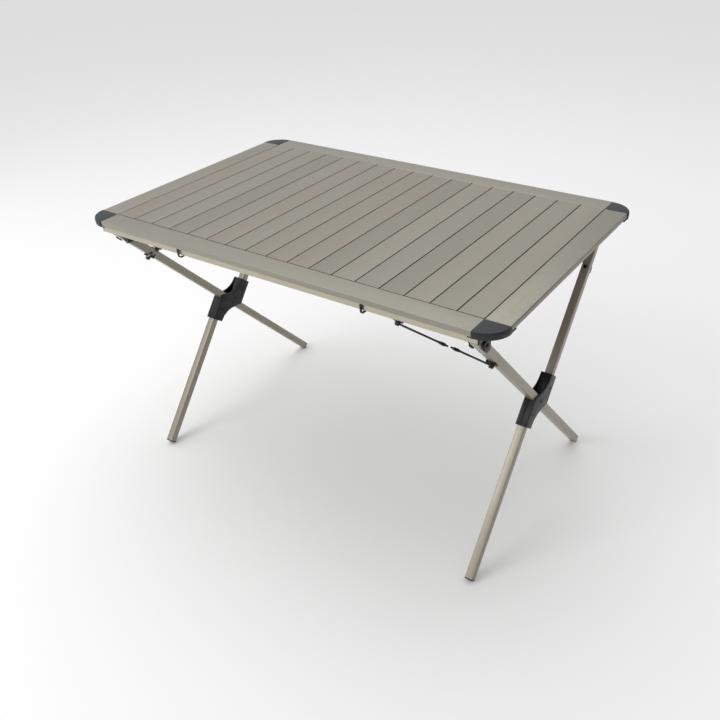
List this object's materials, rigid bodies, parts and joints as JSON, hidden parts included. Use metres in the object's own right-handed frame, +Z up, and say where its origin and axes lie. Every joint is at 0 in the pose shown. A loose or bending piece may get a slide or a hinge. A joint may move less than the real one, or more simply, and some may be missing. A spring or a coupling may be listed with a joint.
{
  "type": "folding table",
  "caption": "Folding camp table with a flat slatted aluminium top on long side tubes, carried by crossed legs that fold in under it and close flat.",
  "frame": {"origin": "on the floor under the middle of the table top", "axes": "+X along the table, -Y towards the front, +Z up"},
  "size_m": [1.1256, 0.7138, 0.707],
  "materials": {
    "slat": "champagne anodised, satin, lightly brushed along the slat",
    "rail": "pale champagne anodised, satin",
    "frame": "champagne anodised tube, satin",
    "corner": "fine textured moulding, dark grey",
    "plastic": "moulded, satin black",
    "rod": "blackened steel rod",
    "steel": "zinc-plated"
  },
  "bodies": {
    "table_top": {"slat_panel": "slat", "end_slat_right": "slat", "end_slat_left": "slat", "rail_front": "rail", "rail_back": "rail", "corner_front_right": "corner", "corner_front_left": "corner", "corner_back_right": "corner", "corner_back_left": "corner", "front_tube": "frame", "fold_bracket_front_right": "plastic", "fold_bracket_front_left": "plastic", "fold_pin_front_right": "steel", "fold_pin_front_left": "steel", "brace_clip_front_right": "plastic", "brace_clip_front_left": "plastic"},
    "back_tube": {"back_tube": "frame", "fold_bracket_back_right": "plastic", "fold_bracket_back_left": "plastic", "fold_pin_back_right": "steel", "fold_pin_back_left": "steel", "brace_clip_back_right": "plastic", "brace_clip_back_left": "plastic"},
    "knuckle_front_right": {"knuckle_front_right": "plastic", "leg_pin_front_right": "steel"},
    "knuckle_back_right": {"knuckle_back_right": "plastic", "leg_pin_back_right": "steel"},
    "knuckle_front_left": {"knuckle_front_left": "plastic", "leg_pin_front_left": "steel"},
    "knuckle_back_left": {"knuckle_back_left": "plastic", "leg_pin_back_left": "steel"},
    "leg_a_right": {"leg_a_right": "frame", "foot_a_right": "plastic", "brace_clamp_front_right": "plastic"},
    "leg_b_right": {"leg_b_upper_right": "frame", "leg_b_lower_right": "frame", "foot_b_right": "plastic", "hub_outer_right": "plastic", "hub_inner_right": "plastic", "hub_pivot_right": "steel", "brace_clamp_back_right": "plastic"},
    "leg_a_left": {"leg_a_left": "frame", "foot_a_left": "plastic", "brace_clamp_front_left": "plastic"},
    "leg_b_left": {"leg_b_upper_left": "frame", "leg_b_lower_left": "frame", "foot_b_left": "plastic", "hub_outer_left": "plastic", "hub_inner_left": "plastic", "hub_pivot_left": "steel", "brace_clamp_back_left": "plastic"},
    "brace_upper_front_right": {"brace_upper_front_right": "rod"},
    "brace_lower_front_right": {"brace_lower_front_right": "rod"},
    "brace_upper_back_right": {"brace_upper_back_right": "rod"},
    "brace_lower_back_right": {"brace_lower_back_right": "rod"},
    "brace_upper_front_left": {"brace_upper_front_left": "rod"},
    "brace_lower_front_left": {"brace_lower_front_left": "rod"},
    "brace_upper_back_left": {"brace_upper_back_left": "rod"},
    "brace_lower_back_left": {"brace_lower_back_left": "rod"}
  },
  "joints": [
    {"name": "fold_right", "type": "hinge", "parent": "table_top", "child": "knuckle_front_right", "pos_m": [0.4775, -0.304, 0.671], "axis": [0, 1, 0], "range_deg": [0, 90]},
    {"name": "squeeze", "type": "hinge", "parent": "knuckle_front_right", "child": "leg_a_right", "pos_m": [0.4975, -0.304, 0.652], "axis": [-1, 0, 0], "range_deg": [0, 40.5]},
    {"name": "hub_turn_right", "type": "hinge", "parent": "leg_a_right", "child": "leg_b_right", "pos_m": [0.4975, 0, 0.333], "axis": [1, 0, 0], "range_deg": [0, 81]},
    {"name": "back_top_turn_right", "type": "hinge", "parent": "leg_b_right", "child": "knuckle_back_right", "pos_m": [0.4975, 0.304, 0.652], "axis": [-1, 0, 0], "range_deg": [0, 40.5]},
    {"name": "back_tube_turn", "type": "hinge", "parent": "knuckle_back_right", "child": "back_tube", "pos_m": [0.4775, 0.304, 0.671], "axis": [0, -1, 0], "range_deg": [0, 90]},
    {"name": "fold_left", "type": "hinge", "parent": "table_top", "child": "knuckle_front_left", "pos_m": [-0.4645, -0.304, 0.652], "axis": [0, -1, 0], "range_deg": [0, 90]},
    {"name": "squeeze_left", "type": "hinge", "parent": "knuckle_front_left", "child": "leg_a_left", "pos_m": [-0.4975, -0.304, 0.652], "axis": [-1, 0, 0], "range_deg": [0, 40.5]},
    {"name": "hub_turn_left", "type": "hinge", "parent": "leg_a_left", "child": "leg_b_left", "pos_m": [-0.4975, 0, 0.333], "axis": [1, 0, 0], "range_deg": [0, 81]},
    {"name": "back_top_turn_left", "type": "hinge", "parent": "leg_b_left", "child": "knuckle_back_left", "pos_m": [-0.4975, 0.304, 0.652], "axis": [-1, 0, 0], "range_deg": [0, 40.5]},
    {"name": "brace_lower_turn_front_right", "type": "hinge", "parent": "leg_a_right", "child": "brace_lower_front_right", "pos_m": [0.4975, -0.24939, 0.57005], "axis": [0, 0.7239, 0.6899], "range_deg": [0, 50.04]},
    {"name": "brace_upper_turn_front_right", "type": "hinge", "parent": "table_top", "child": "brace_upper_front_right", "pos_m": [0.337, -0.34216, 0.6674], "axis": [0, -0.7239, -0.6899], "range_deg": [0, 39.96]},
    {"name": "brace_lower_turn_back_right", "type": "hinge", "parent": "leg_b_right", "child": "brace_lower_back_right", "pos_m": [0.4975, 0.2554, 0.56635], "axis": [0, 0.7715, -0.6362], "range_deg": [0, 50.78]},
    {"name": "brace_upper_turn_back_right", "type": "hinge", "parent": "back_tube", "child": "brace_upper_back_right", "pos_m": [0.337, 0.33873, 0.6674], "axis": [0, -0.7715, 0.6362], "range_deg": [0, 39.22]},
    {"name": "brace_lower_turn_front_left", "type": "hinge", "parent": "leg_a_left", "child": "brace_lower_front_left", "pos_m": [-0.4975, -0.24939, 0.57005], "axis": [0, -0.7239, -0.6899], "range_deg": [0, 50.04]},
    {"name": "brace_upper_turn_front_left", "type": "hinge", "parent": "table_top", "child": "brace_upper_front_left", "pos_m": [-0.337, -0.34216, 0.6674], "axis": [0, 0.7239, 0.6899], "range_deg": [0, 39.96]},
    {"name": "brace_lower_turn_back_left", "type": "hinge", "parent": "leg_b_left", "child": "brace_lower_back_left", "pos_m": [-0.4975, 0.2554, 0.56635], "axis": [0, -0.7715, 0.6362], "range_deg": [0, 50.78]},
    {"name": "brace_upper_turn_back_left", "type": "hinge", "parent": "back_tube", "child": "brace_upper_back_left", "pos_m": [-0.337, 0.33873, 0.6674], "axis": [0, 0.7715, -0.6362], "range_deg": [0, 39.22]}
  ],
  "couplings": [
    {"joint": "hub_turn_right", "follows": "squeeze", "ratio": 2},
    {"joint": "back_top_turn_right", "follows": "squeeze", "ratio": 1},
    {"joint": "squeeze_left", "follows": "squeeze", "ratio": 1},
    {"joint": "hub_turn_left", "follows": "squeeze", "ratio": 2},
    {"joint": "back_top_turn_left", "follows": "squeeze", "ratio": 1},
    {"joint": "back_tube_turn", "follows": "fold_right", "ratio": 1},
    {"joint": "brace_lower_turn_front_right", "follows": "fold_right", "ratio": 0.55602},
    {"joint": "brace_lower_turn_back_right", "follows": "fold_right", "ratio": 0.56425},
    {"joint": "brace_upper_turn_front_right", "follows": "squeeze", "ratio": 0.9866},
    {"joint": "brace_upper_turn_back_right", "follows": "squeeze", "ratio": 0.96831},
    {"joint": "brace_lower_turn_front_left", "follows": "fold_left", "ratio": 0.55602},
    {"joint": "brace_lower_turn_back_left", "follows": "fold_left", "ratio": 0.56425},
    {"joint": "brace_upper_turn_front_left", "follows": "fold_left", "ratio": 0.44397},
    {"joint": "brace_upper_turn_back_left", "follows": "fold_left", "ratio": 0.43574}
  ]
}
